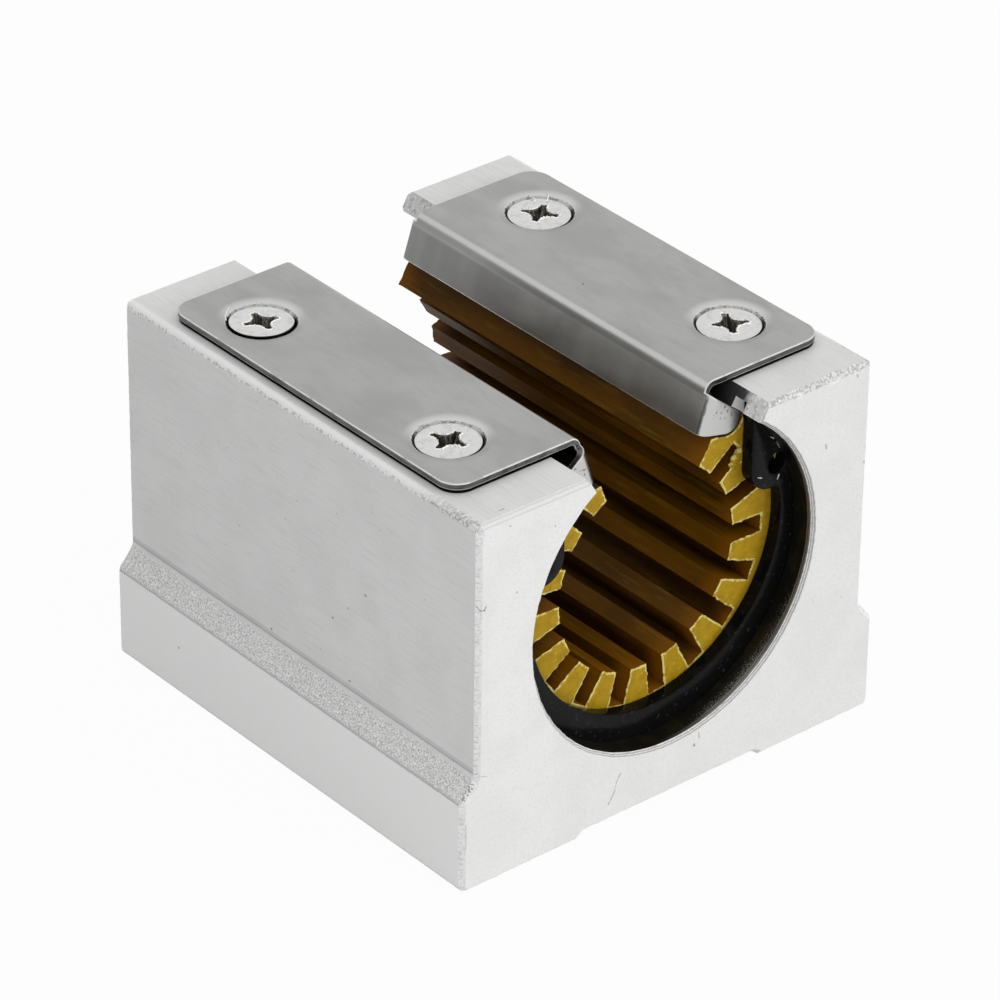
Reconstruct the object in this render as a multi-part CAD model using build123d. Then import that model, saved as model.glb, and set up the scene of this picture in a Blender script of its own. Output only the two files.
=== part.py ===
from build123d import *
import math
import os

# Open linear bearing block for a supported round rail. Millimetres, +Z up. The origin is the
# centre of the mounting face, which the block stands on; +Y runs along the bore to the rear,
# and the slot for the rail support opens at the top.

# Housing: an extruded aluminium bar, bored, slotted and drilled
block_length = 62.0
block_height = 46.0
foot_width = 60.0
shoulder_step = 2.0
shoulder_low = 11.8
shoulder_top = 14.2
relief_width = 27.0
relief_depth = 0.75
relief_ramp = 1.0
foot_radius = 1.0
shoulder_radius = 0.6
shoulder_fillet = 1.8
top_radius = 0.7
edge_break = 0.5

# Bore and slot
arm_height = 18.4
bore_diameter = 40.0
bore_chamfer = 0.4
slot_width = 25.8
slot_wall_lean = 30.0

# Tapped holes in the mounting face, M6, drilled before tapping
mount_spacing_x = 40.0
mount_spacing_y = 40.0
mount_hole_diameter = 5.0
mount_hole_depth = 12.0

# Liner: a ribbed plastic sleeve, open towards the slot
shaft_diameter = 25.0
liner_setback = 4.95
liner_wall = 3.26
liner_clearance = 0.04
rib_count = 15
rib_pitch = 20.4
rib_gap_width = 2.25
liner_turn = 3.4
flange_room_below = 0.45
flange_room_beside = 0.35
seat_clearance = 0.25

# Retaining rings, one at each end of the liner
ring_thickness = 1.75
ring_radial_play = 0.1
ring_side_play = 0.05
ring_bite = 1.25
ring_band = 3.15
ring_eccentricity = 1.3
lug_reach = 4.6
lug_low = 4.9
lug_corner_radius = 3.0
lug_fillet = 1.0
lug_hole_radius = 1.3
lug_hole_inset = 2.25
lug_hole_angle = 114.6

# Covers: formed steel sheet over each arm, with a flange down into the slot
sheet = 0.8
cover_lift = 0.4
cover_setback = 6.2
cover_edge_inset = 1.6
cover_corner_radius = 2.6
flange_foot_x = 7.31
flange_foot_drop = 1.19
flange_lean = 18.0
bend_radius = 0.5
tab_gap = 0.05
tab_wall_gap = 0.06
tab_corner_angle = 41.1
tab_bend_radius = 0.45
tab_head_drop = 1.2
tab_foot_slope = 14.0
tab_foot_radius = 1.8
tab_head_radius = 0.45

# Cover screws: M4, countersunk, cross recess
screw_side_distance = 8.0
screw_end_distance = 14.75
screw_length = 8.0
screw_diameter = 3.9
screw_head_diameter = 7.4
screw_head_rim = 0.15
screw_head_sink = 0.3
recess_span = 4.4
recess_foot = 1.5
recess_wing = 0.95
recess_depth = 2.0
recess_core_mouth = 2.1
recess_core_foot = 1.05
recess_turns = {"front_left": 18.0, "front_right": 62.0, "rear_left": 78.0, "rear_right": 34.0}
dimple_clearance = 0.12
dimple_hole_diameter = 4.5
tapped_diameter = 4.0
tapped_depth = 8.0
countersink_clearance = 0.05

# How far a cut runs past a face, and how near two points are to be the same one
overshoot = 2.0
same_point = 1e-3

# Worked out from the sizes above
upper_edge = foot_width / 2 - shoulder_step
bore_height = block_height - arm_height
bore_radius = bore_diameter / 2
tip_radius = shaft_diameter / 2
liner_radius = bore_radius - liner_clearance
rib_root_radius = liner_radius - liner_wall
groove_radius = bore_radius + ring_bite
ring_radius = groove_radius - ring_radial_play
ring_inner_radius = ring_radius - ring_band
ring_end_x = ring_inner_radius - lug_reach
liner_end = block_length / 2 - liner_setback
ring_near = liner_end + ring_side_play
groove_near = ring_near - ring_side_play
groove_far = ring_near + ring_thickness + ring_side_play
cover_top = block_height + cover_lift + sheet
cover_edge = upper_edge - cover_edge_inset
cover_end = block_length / 2 - cover_setback
tab_reach = (bore_radius - tab_wall_gap) * math.sin(math.radians(tab_corner_angle))
tab_corner_rise = (bore_radius - tab_wall_gap) * math.cos(math.radians(tab_corner_angle))
tab_face = ring_near - tab_gap
lean = math.radians(flange_lean)
flange_drop = cover_top - bore_height - tab_corner_rise + flange_foot_drop
flange_length = flange_drop / math.cos(lean)
flange_offset = flange_foot_x + flange_drop * math.tan(lean)
inward = Vector(-math.sin(lean), -math.cos(lean))
outward = Vector(math.cos(lean), -math.sin(lean))
screw_x = upper_edge - screw_side_distance
screw_y = block_length / 2 - screw_end_distance
screw_top = cover_top - screw_head_sink
head_rim = screw_top - screw_head_rim
head_radius = screw_head_diameter / 2


def along_bore(section, near, far):
    """Carry a section drawn in X and Z along Y from one end to the other."""
    return extrude(Plane.XZ.offset(-far) * section, far - near)


def area(points):
    """A flat face with straight sides through the points."""
    return make_face(Polyline(points, close=True))


def corners(sketch, x, z):
    """The corners of a section at a height, on one side or on both."""
    level = [v for v in sketch.vertices() if abs(v.Y - z) < same_point]
    return [v for v in level if abs(abs(v.X) - x) < same_point]


def blind_hole(diameter, depth):
    """A hole downward from the origin, with room above its mouth."""
    return Pos(0, 0, (overshoot - depth) / 2) * Cylinder(diameter / 2, depth + overshoot)


def slot_half(height):
    """Half the slot's width at a height: its walls close in towards the bore."""
    return slot_width / 2 - (block_height - height) * math.tan(math.radians(slot_wall_lean))


def housing_section():
    relief = relief_width / 2
    foot = foot_width / 2
    right = [
        (relief - relief_ramp, relief_depth),
        (relief, 0),
        (foot, 0),
        (foot, shoulder_low),
        (upper_edge, shoulder_top),
        (upper_edge, block_height),
    ]
    left = [(-x, z) for x, z in reversed(right)]
    outline = area(right + left)
    outline = fillet(corners(outline, foot, 0), foot_radius)
    outline = fillet(corners(outline, foot, shoulder_low), shoulder_radius)
    outline = fillet(corners(outline, upper_edge, shoulder_top), shoulder_fillet)
    return fillet(corners(outline, upper_edge, block_height), top_radius)


def bore_and_slot():
    over = block_height + overshoot
    slot = area([
        (-slot_half(over), over),
        (slot_half(over), over),
        (slot_half(bore_height), bore_height),
        (-slot_half(bore_height), bore_height),
    ])
    return Pos(0, bore_height) * Circle(bore_radius) + slot


def mouth_cone(side):
    """The chamfer at one end of the bore."""
    wide = bore_radius + bore_chamfer + overshoot
    cone = Cone(bore_radius - overshoot, wide, bore_chamfer + 2 * overshoot)
    turn = Rot(-90, 0, 0) if side > 0 else Rot(90, 0, 0)
    return Pos(0, side * (block_length / 2 - bore_chamfer / 2), bore_height) * turn * cone


def dimple_cone(grow, low, high):
    """The cone that the screw head sits in, between two heights, made wider by grow."""
    start = head_radius + dimple_clearance + grow
    radius_low = start + low - head_rim
    radius_high = start + high - head_rim
    return Pos(0, 0, (low + high) / 2) * Cone(radius_low, radius_high, high - low)


def countersink():
    """The seat in the block's top that a cover's dimple drops into."""
    grow = sheet * math.sqrt(2) + countersink_clearance
    start = head_radius + dimple_clearance + grow
    low = head_rim - start + tapped_diameter / 2
    return dimple_cone(grow, low, block_height + overshoot)


def screw_places():
    """Each cover screw's name and its X and Y."""
    return {
        end + "_" + side: (sx * screw_x, sy * screw_y)
        for end, sy in (("front", -1), ("rear", 1))
        for side, sx in (("left", -1), ("right", 1))
    }


def housing():
    half = block_length / 2
    body = along_bore(housing_section(), -half, half)
    end_edges = body.edges().filter_by_position(Axis.Y, half - same_point, half + same_point)
    end_edges += body.edges().filter_by_position(Axis.Y, -half - same_point, -half + same_point)
    body = chamfer(end_edges, edge_break)
    body -= along_bore(bore_and_slot(), -half - overshoot, half + overshoot)
    groove = Pos(0, bore_height) * Circle(groove_radius)
    for side in (-1, 1):
        body -= mouth_cone(side)
        near, far = sorted((side * groove_near, side * groove_far))
        body -= along_bore(groove, near, far)
    for x, y in screw_places().values():
        body -= Pos(x, y, block_height) * blind_hole(tapped_diameter, tapped_depth)
        body -= Pos(x, y, 0) * countersink()
    return body - mounting_holes()


def mounting_holes():
    hole = Rot(180, 0, 0) * blind_hole(mount_hole_diameter, mount_hole_depth)
    return [
        Pos(sx * mount_spacing_x / 2, sy * mount_spacing_y / 2, 0) * hole
        for sx in (-1, 1)
        for sy in (-1, 1)
    ]


def spoke(angle, width, reach):
    """A straight radial strip of the liner's section, at an angle from straight down."""
    strip = Pos(0, -reach / 2) * Rectangle(width, reach)
    return Rot(0, 0, angle) * strip


def liner_opening():
    """The liner's opening above the shaft, with sides like those of its gaps."""
    edge = math.radians(rib_count * rib_pitch / 2)
    along = Vector(math.sin(edge), -math.cos(edge))
    aside = Vector(-math.cos(edge), -math.sin(edge))
    start = aside * (rib_gap_width / 2)
    end = start + along * bore_diameter
    return area([(start.X, start.Y), (end.X, end.Y), (-end.X, end.Y), (-start.X, start.Y)])


def flange_room():
    """The space that the right flange and the slot beside it need in the liner."""
    foot = down_flange(flange_length + flange_room_below)
    low = foot + outward * (sheet + flange_room_beside)
    high = low - inward * bore_diameter
    return area([(0, low.Y), (low.X, low.Y), (high.X, high.Y), (0, high.Y)])


def liner():
    section = Circle(liner_radius) - Circle(tip_radius)
    for gap in range(rib_count - 1):
        angle = (gap - rib_count / 2 + 1) * rib_pitch
        section -= spoke(angle, rib_gap_width, rib_root_radius)
    section -= liner_opening()
    section = Pos(0, bore_height) * Rot(0, 0, -liner_turn) * section
    section -= flange_room()
    section -= mirror(flange_room(), Plane.YZ)
    body = along_bore(section, -liner_end, liner_end)
    seat_depth = tab_face - sheet - tab_gap
    for side in (-1, 1):
        near, far = sorted((side * seat_depth, side * (liner_end + overshoot)))
        for mirrored in (False, True):
            seat = offset(tab_outline(), seat_clearance)
            seat = mirror(seat, Plane.YZ) if mirrored else seat
            body -= along_bore(seat, near, far)
    return body


def retaining_ring(side):
    """A snap ring in its groove: a thin eccentric band with a drilled lug at each end."""
    band = Circle(ring_radius) - Pos(0, ring_eccentricity) * Circle(ring_inner_radius)
    height = 2 * ring_radius
    band -= Pos(0, height / 2) * Rectangle(2 * ring_end_x, height)
    block = Pos(ring_radius, lug_low + height / 2) * Rectangle(
        2 * (ring_radius - ring_end_x), height
    )
    lug = block & Circle(ring_radius)
    lug = fillet(corners(lug, ring_end_x, lug_low), lug_corner_radius)
    ring = band + lug + mirror(lug, Plane.YZ)
    rise = lug_low - ring_eccentricity
    root = math.sqrt(ring_inner_radius**2 - rise**2)
    ring = fillet(corners(ring, root, lug_low), lug_fillet)
    angle = math.radians(lug_hole_angle)
    reach = ring_radius - lug_hole_inset
    hole_x, hole_z = reach * math.sin(angle), -reach * math.cos(angle)
    for sx in (-1, 1):
        ring -= Pos(sx * hole_x, hole_z) * Circle(lug_hole_radius)
    near, far = sorted((side * ring_near, side * (ring_near + ring_thickness)))
    return along_bore(Pos(0, bore_height) * ring, near, far)


def down_flange(distance):
    """A point on the right flange's slot face, by its distance down from the cover's top."""
    return Vector(flange_offset, cover_top) + inward * distance


def cover_section():
    """The sheet's section: a flat plate, a bend, and a flange leaning into the slot."""
    corner = down_flange(0)
    turn = (1 - math.sin(lean)) / math.cos(lean) * sheet
    inner = Vector(flange_offset + turn, cover_top - sheet)
    end = down_flange(flange_length)
    end_inner = end + outward * sheet
    section = area([
        (cover_edge, cover_top),
        (corner.X, corner.Y),
        (end.X, end.Y),
        (end_inner.X, end_inner.Y),
        (inner.X, inner.Y),
        (cover_edge, cover_top - sheet),
    ])
    section = fillet(corners(section, corner.X, corner.Y), bend_radius + sheet)
    return fillet(corners(section, inner.X, inner.Y), bend_radius)


def tab_outline():
    """The end tab's outline, seen along the bore: it tapers away from the flange."""
    head = down_flange(tab_head_drop)
    foot = down_flange(flange_length)
    upper = bore_height + tab_corner_rise
    lower = foot.Y - (tab_reach - foot.X) * math.tan(math.radians(tab_foot_slope))
    outline = area([(head.X, head.Y), (tab_reach, upper), (tab_reach, lower), (foot.X, foot.Y)])
    outline = fillet(corners(outline, tab_reach, lower), tab_foot_radius)
    return fillet(corners(outline, tab_reach, upper), tab_head_radius)


def flange_and_tabs():
    """The flange over its whole length with the tab that turns outward at each end."""
    inside = tab_face - sheet
    channel = area([
        (tab_reach, -tab_face),
        (0, -tab_face),
        (0, tab_face),
        (tab_reach, tab_face),
        (tab_reach, inside),
        (sheet, inside),
        (sheet, -inside),
        (tab_reach, -inside),
    ])
    outer = corners(channel, 0, tab_face) + corners(channel, 0, -tab_face)
    channel = fillet(outer, tab_bend_radius + sheet)
    inner = corners(channel, sheet, inside) + corners(channel, sheet, -inside)
    channel = fillet(inner, tab_bend_radius)
    plane = Plane(
        origin=(flange_offset, 0, cover_top),
        x_dir=(outward.X, 0, outward.Y),
        z_dir=(inward.X, 0, inward.Y),
    )
    sheet_metal = extrude(plane * channel, flange_length)
    head, foot = down_flange(tab_head_drop), down_flange(flange_length)
    rim = [head, head + outward * sheet, foot + outward * sheet, foot]
    strip = area([(p.X, p.Y) for p in rim])
    trim = along_bore(tab_outline() + strip, -block_length / 2, block_length / 2)
    return sheet_metal & trim


def cover(side):
    """One cover: plate, flange and tabs in one sheet, with a dimple under each screw."""
    body = along_bore(cover_section(), -cover_end, cover_end)
    plate_corners = body.edges().filter_by(Axis.Z).filter_by_position(
        Axis.X, cover_edge - same_point, cover_edge + same_point
    )
    body = fillet(plate_corners, cover_corner_radius)
    body += flange_and_tabs()
    low = head_rim - head_radius - dimple_clearance + dimple_hole_diameter / 2
    for y in (-screw_y, screw_y):
        body += Pos(screw_x, y, 0) * dimple_cone(sheet * math.sqrt(2), low, cover_top - sheet / 2)
        body -= Pos(screw_x, y, 0) * dimple_cone(0, low, cover_top)
    return body if side > 0 else mirror(body, Plane.YZ)


def cross_recess(turn):
    """The cross recess that a driver fits: four tapering wings round a tapering core."""
    mouth, foot = recess_span / 2, recess_foot / 2
    profile = area([
        (-mouth, overshoot),
        (mouth, overshoot),
        (mouth, 0),
        (foot, -recess_depth),
        (-foot, -recess_depth),
        (-mouth, 0),
    ])
    wing = along_bore(profile, -recess_wing / 2, recess_wing / 2)
    core = loft([
        Rot(0, 0, 45) * Rectangle(recess_core_mouth, recess_core_mouth),
        Pos(0, 0, -recess_depth) * Rot(0, 0, 45) * Rectangle(recess_core_foot, recess_core_foot),
    ])
    cut = wing + Rot(0, 0, 90) * wing + core
    return Pos(0, 0, screw_top) * Rot(0, 0, turn) * cut


def cover_screw(name, x, y):
    shank = screw_diameter / 2
    seat = head_rim - (head_radius - shank)
    tip = screw_top - screw_length
    profile = make_face(Polyline(
        (0, screw_top),
        (head_radius, screw_top),
        (head_radius, head_rim),
        (shank, seat),
        (shank, tip),
        (0, tip),
        close=True,
    ))
    screw = revolve(Plane.XZ * profile, Axis.Z)
    return Pos(x, y, 0) * (screw - cross_recess(recess_turns[name]))


def nodes():
    parts = {
        "housing": housing(),
        "liner": liner(),
        "retaining_ring_front": retaining_ring(-1),
        "retaining_ring_rear": retaining_ring(1),
        "cover_left": cover(-1),
        "cover_right": cover(1),
    }
    for name, (x, y) in screw_places().items():
        parts["cover_screw_" + name] = cover_screw(name, x, y)
    return parts


os.makedirs("parts", exist_ok=True)
for node, shape in nodes().items():
    export_step(shape, "parts/" + node + ".step")
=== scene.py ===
import math
import random

import bmesh
import bpy
from mathutils import Matrix, Vector, noise
from mathutils.geometry import delaunay_2d_cdt


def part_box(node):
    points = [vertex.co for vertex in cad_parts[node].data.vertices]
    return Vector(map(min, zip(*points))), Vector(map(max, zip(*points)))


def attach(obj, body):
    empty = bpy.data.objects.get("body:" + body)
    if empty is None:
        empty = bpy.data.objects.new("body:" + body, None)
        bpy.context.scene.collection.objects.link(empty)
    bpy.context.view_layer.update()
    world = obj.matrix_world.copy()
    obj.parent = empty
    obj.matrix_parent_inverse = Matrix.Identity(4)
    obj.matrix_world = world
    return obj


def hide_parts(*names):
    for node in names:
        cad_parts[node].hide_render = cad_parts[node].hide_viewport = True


# Sizes are in millimetres, in the row's frame, until a mesh is made from them.
MM = 0.001

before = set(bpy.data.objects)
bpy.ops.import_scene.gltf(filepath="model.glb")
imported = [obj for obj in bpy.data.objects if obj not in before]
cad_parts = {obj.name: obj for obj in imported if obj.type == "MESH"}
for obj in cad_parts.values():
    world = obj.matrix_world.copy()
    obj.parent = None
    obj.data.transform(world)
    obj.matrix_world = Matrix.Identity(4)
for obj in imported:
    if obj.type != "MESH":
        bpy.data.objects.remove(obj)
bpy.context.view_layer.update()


def box(node):
    """A node's lowest and highest corner in millimetres."""
    low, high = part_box(node)
    return low / MM, high / MM


# Camera, as fitted to the photograph
CAMERA_AZIMUTH = math.radians(-40.16)
CAMERA_ELEVATION = math.radians(31.45)
CAMERA_ROLL = math.radians(0.74)
CAMERA_DISTANCE = 648.1
CAMERA_TARGET = Vector((0.93, 0, 23.6))
SENSOR_WIDTH = 36
FOCAL_RATIO = 5.767

# Studio: the room's brightness at its walls and overhead, the steepness between which it rises from
# one to the other, and how it changes along X, Y and Z
WORLD_LEVEL = 0.375
WORLD_TOP = 1.04
WORLD_RISE = (0.5, 0.8)
WORLD_SLOPE = (0.15, -0.05, 0)
FLOOR_GLOW = 0.96
FLOOR_GREY = 0.64

# Housing
BLOCK_HIGH = box("housing")[1]
UPPER_EDGE = 28
SHOULDER_LOW, SHOULDER_HIGH = 11.6, 14.8
# Height near where the block's top edges start to round over
TOP_ROUND_LEVEL = 45.1
BROAD_AREA = 20
EDGE_SPACING = 0.3
EDGE_WEAR = 0.16
CHIPS = (
    # place on the edge, half length and depth
    ((17.2, -31, 45.5), 1.1, 0.5),
    ((19.4, -31, 45.5), 0.7, 0.35),
    ((22.6, -31, 45.5), 1.6, 0.6),
    ((25.4, -31, 45.5), 0.9, 0.45),
    ((-27.5, -31, 44.6), 0.8, 0.3),
)
# Painted highlights: bright lines along the edges of a step in the right arm's slot wall
STEP_HIGHLIGHTS = (
    ((12.4, -24.9, 44.7), (12.4, -27.2, 44.7), 0.08, 0.7),
    ((12.4, -24.9, 44.7), (12.4, -24.7, 43.9), 0.06, 0.6),
    ((12.4, -24.7, 43.9), (12.4, -26.6, 43.8), 0.06, 0.6),
)
SLOT_REACH = 13.2
SLOT_FOOT = 43
# Scratches and dents: start, end, width and strength
MARKS = (
    ((-28.02, -30.5, 36.3), (-27.75, -30.8, 35.6), 0.09, 0.7),
    ((-27.75, -30.8, 35.6), (-27.15, -31, 35.5), 0.08, 0.7),
    ((-27.15, -31, 35.5), (-27.0, -31, 35.9), 0.08, 0.7),
    ((-27.9, -30.8, 15.0), (-28.5, -30.8, 13.7), 0.2, 0.7),
    ((-28.5, -30.8, 13.7), (-29.8, -30.8, 12.1), 0.3, 0.7),
    ((-27.6, -31, 14.6), (-26.6, -31, 14.2), 0.05, 0.35),
    ((-29.42, -31, 9.1), (-29.38, -31, 5.9), 0.05, 0.5),
    ((-7.4, -31, 6.5), (-8.0, -31, 5.6), 0.07, 0.5),
    ((-8.0, -31, 5.6), (-8.2, -31, 4.5), 0.05, 0.45),
    ((-8.2, -31, 4.5), (-9.1, -31, 3.0), 0.08, 0.5),
    ((3.3, -31, 5.7), (3.4, -31, 5.6), 0.16, 0.6),
    ((4.0, -31, 7.0), (4.05, -31, 6.4), 0.09, 0.5),
    ((-17.51, -31, 42.3), (-17.5, -31, 42.2), 0.1, 0.5),
    ((-22.77, -31, 36.1), (-22.7, -31, 36.0), 0.1, 0.45),
    ((-23.8, -31, 44.7), (-23.7, -31, 44.65), 0.1, 0.45),
    ((-24.1, -29.6, 46), (-23.5, -29.6, 46), 0.08, 0.6),
    ((27.5, -31, 35.2), (27.6, -31, 34.6), 0.12, 0.5),
    ((27.3, -31, 33.3), (27.4, -31, 33.1), 0.12, 0.45),
    ((25.7, -31, 44.9), (25.75, -31, 44.7), 0.11, 0.45),
    ((21.4, -31, 37.6), (21.45, -31, 37.2), 0.12, 0.5),
    ((-28, -11.9, 28.3), (-28, -12.0, 28.3), 0.13, 0.75),
    ((-28, -8.9, 25.2), (-28, -9.0, 25.2), 0.1, 0.65),
    ((-28, -6.2, 22.6), (-28, -6.3, 22.6), 0.12, 0.7),
    ((-28, 4.8, 15.7), (-28, 4.7, 15.7), 0.12, 0.7),
    ((-28, -9.2, 15.9), (-28, -9.3, 15.9), 0.12, 0.65),
    ((-30, 19.4, 6.6), (-30, 19.3, 6.6), 0.11, 0.6),
)

# Crumbs of plastic at the front end: place and radius
CRUMBS = (
    ((13.6, -25.85, 37.2), 1.0), ((12.8, -25.85, 36.6), 0.75), ((14.3, -25.85, 37.8), 0.75),
    ((14.4, -25.85, 36.3), 0.75), ((12.3, -25.9, 36.1), 0.5), ((14.9, -25.85, 38.4), 0.5),
    ((13.4, -25.9, 38.1), 0.5), ((13.5, -25.9, 35.9), 0.55),
)

# Front ring: its face, and painted glints on its edge as start, end and width
RING_FACE = box("retaining_ring_front")[0].y
GLINTS = (
    ((14.4, 34.6), (15.0, 34.3), 0.05),
    ((17.3, 33.4), (17.45, 33.8), 0.08),
    ((15.9, 39.3), (16.5, 38.8), 0.03),
    ((16.9, 38.2), (17.4, 37.3), 0.035),
)
LUG_HOLE = (18.2, 34.2)

# Liner
LINER_LOW, LINER_HIGH = box("liner")
BURR_BAND = 0.45
BURR_SPACING = 0.28
BORDER_WIDTH = 0.22
BORDER_RAG = 0.14

# Covers, with scratches on a plate as start, end, width and strength
PLATE_MARKS = (
    ((12.75, 0.16, 47.2), (12.8, 0.2, 47.2), 0.14, 0.8),
    ((-24.2, 14.2, 47.2), (-24.0, 13.6, 47.2), 0.06, 0.4),
    ((22.0, -20.6, 47.2), (23.4, -20.9, 47.2), 0.05, 0.35),
    ((16.6, -19.6, 47.2), (17.6, -20.6, 47.2), 0.06, 0.4),
)
COVER_LOW, COVER_HIGH = box("cover_right")
COVER_TOP = COVER_HIGH.z
SHEET = 0.8
COVER_SETBACK = 6.2
PLATE_END = BLOCK_HIGH.y - COVER_SETBACK
PLATE_CORNER = 2.6
LEAN = math.radians(18)
BEND = 1.3
TAB_BEND = 1.2
TAB_HEAD = 1.2
TAB_FOOT_DROP = 1.19
TAB_FOOT_SLOPE = math.radians(14)
TAB_FOOT_RADIUS = 1.8
TAB_HEAD_RADIUS = 0.45
TAB_ANGLE = math.radians(41.1)
BORE_HEIGHT = 27.6
BORE_RADIUS = 20
TAB_WALL_GAP = 0.06
SHEET_EDGE = 0.13
# Distance from a screw's axis and depth below the plate, from outside in
DISH = (
    (6, 0), (5.5, 0.008), (5.1, 0.025), (4.75, 0.055), (4.5, 0.09), (4.3, 0.13), (4.14, 0.19), (4.03, 0.28),
)
DIMPLE_FOOT_RADIUS = 2.25
DISH_STEPS = 84
PLATE_GRID = 1.1
PLATE_ROWS = 72
PLATE_SAG = 0.015
BEND_STEPS = 8
FLANGE_STEPS = 10
TAB_STEPS = 14

# Screws
SCREW_X, SCREW_Y = 20, 16.25
# The way along X and Y towards the lit side of a dimple's wall, which is painted bright
LIT_WAY = (0.64, 0.77)
SCREWS = ("front_left", "front_right", "rear_left", "rear_right")
# Slivers torn from the heads: places along each and its radius
CURLS = {
    "rear_left": (
        (((-22.9, 18.9, 46.85), (-22.6, 19.5, 47.0), (-21.5, 20.5, 47.08), (-19.6, 21.5, 47.1)), 0.07),
    ),
    "rear_right": (
        (((21.1, 18.5, 46.95), (21.6, 19.0, 47.08), (21.4, 19.5, 47.1), (21.7, 20.3, 47.08)), 0.1),
        (((22.3, 17.7, 46.95), (22.8, 18.1, 47.08), (23.4, 18.7, 47.1), (23.2, 19.0, 47.06)), 0.09),
    ),
}
RECESS_TURNS = {"front_left": 18, "front_right": 62, "rear_left": 78, "rear_right": 34}
HEAD_STEPS = 96
# Radius short of the head's own, and height over its top, down to the shank
HEAD_RIM = ((0.4, 0), (0.28, -0.01), (0.2, -0.03), (0.08, -0.08), (0.02, -0.14), (0, -0.2), (0.04, -0.26))
RIM_WEAR = 0.05
HEAD_GRID = 0.4
HEAD_TILT = math.radians(2.4)
HEAD_RISE = 0.13
HEAD_SHIFT = 0.06
# How far the raised lip's foot and its crest lie from the recess
MOUTH_REACH = 0.24
LIP_REACH = 0.1
SHANK_RADIUS = 1.95
RECESS_FOOT = 0.5
RECESS_DEPTH = 1.9


# Materials


# The sockets of a colour mix
MIX_SHARE, MIX_FIRST, MIX_SECOND = 0, 6, 7


def add(tree, kind, **values):
    """A shader node: names in lower case are its properties, the others its inputs."""
    node = tree.nodes.new("ShaderNode" + kind)
    for name, value in values.items():
        if name[0].islower():
            setattr(node, name, value)
        else:
            node.inputs[name].default_value = value
    return node


def rgba(color):
    """A colour for a socket, from its red, green and blue or from one grey."""
    return (*color, 1) if isinstance(color, tuple) else (color, color, color, 1)


def feed(tree, source, node, name):
    """Links a source to an input, by its name or number, and gives the node back."""
    tree.links.new(source, node.inputs[name])
    return node


def compute(tree, kind, operation, *values):
    """A node of one operation, with sockets and plain values as its inputs."""
    node = add(tree, kind, operation=operation)
    for index, value in enumerate(values):
        if isinstance(value, bpy.types.NodeSocket):
            tree.links.new(value, node.inputs[index])
        else:
            node.inputs[index].default_value = value
    return node


def ranged(tree, source, low, high, to_low, to_high):
    """A value that goes smoothly from one to another between two levels of its source."""
    made = add(tree, "MapRange", interpolation_type="SMOOTHSTEP")
    for name, value in zip(("From Min", "From Max", "To Min", "To Max"), (low, high, to_low, to_high)):
        made.inputs[name].default_value = value
    return feed(tree, source, made, "Value").outputs["Result"]


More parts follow.
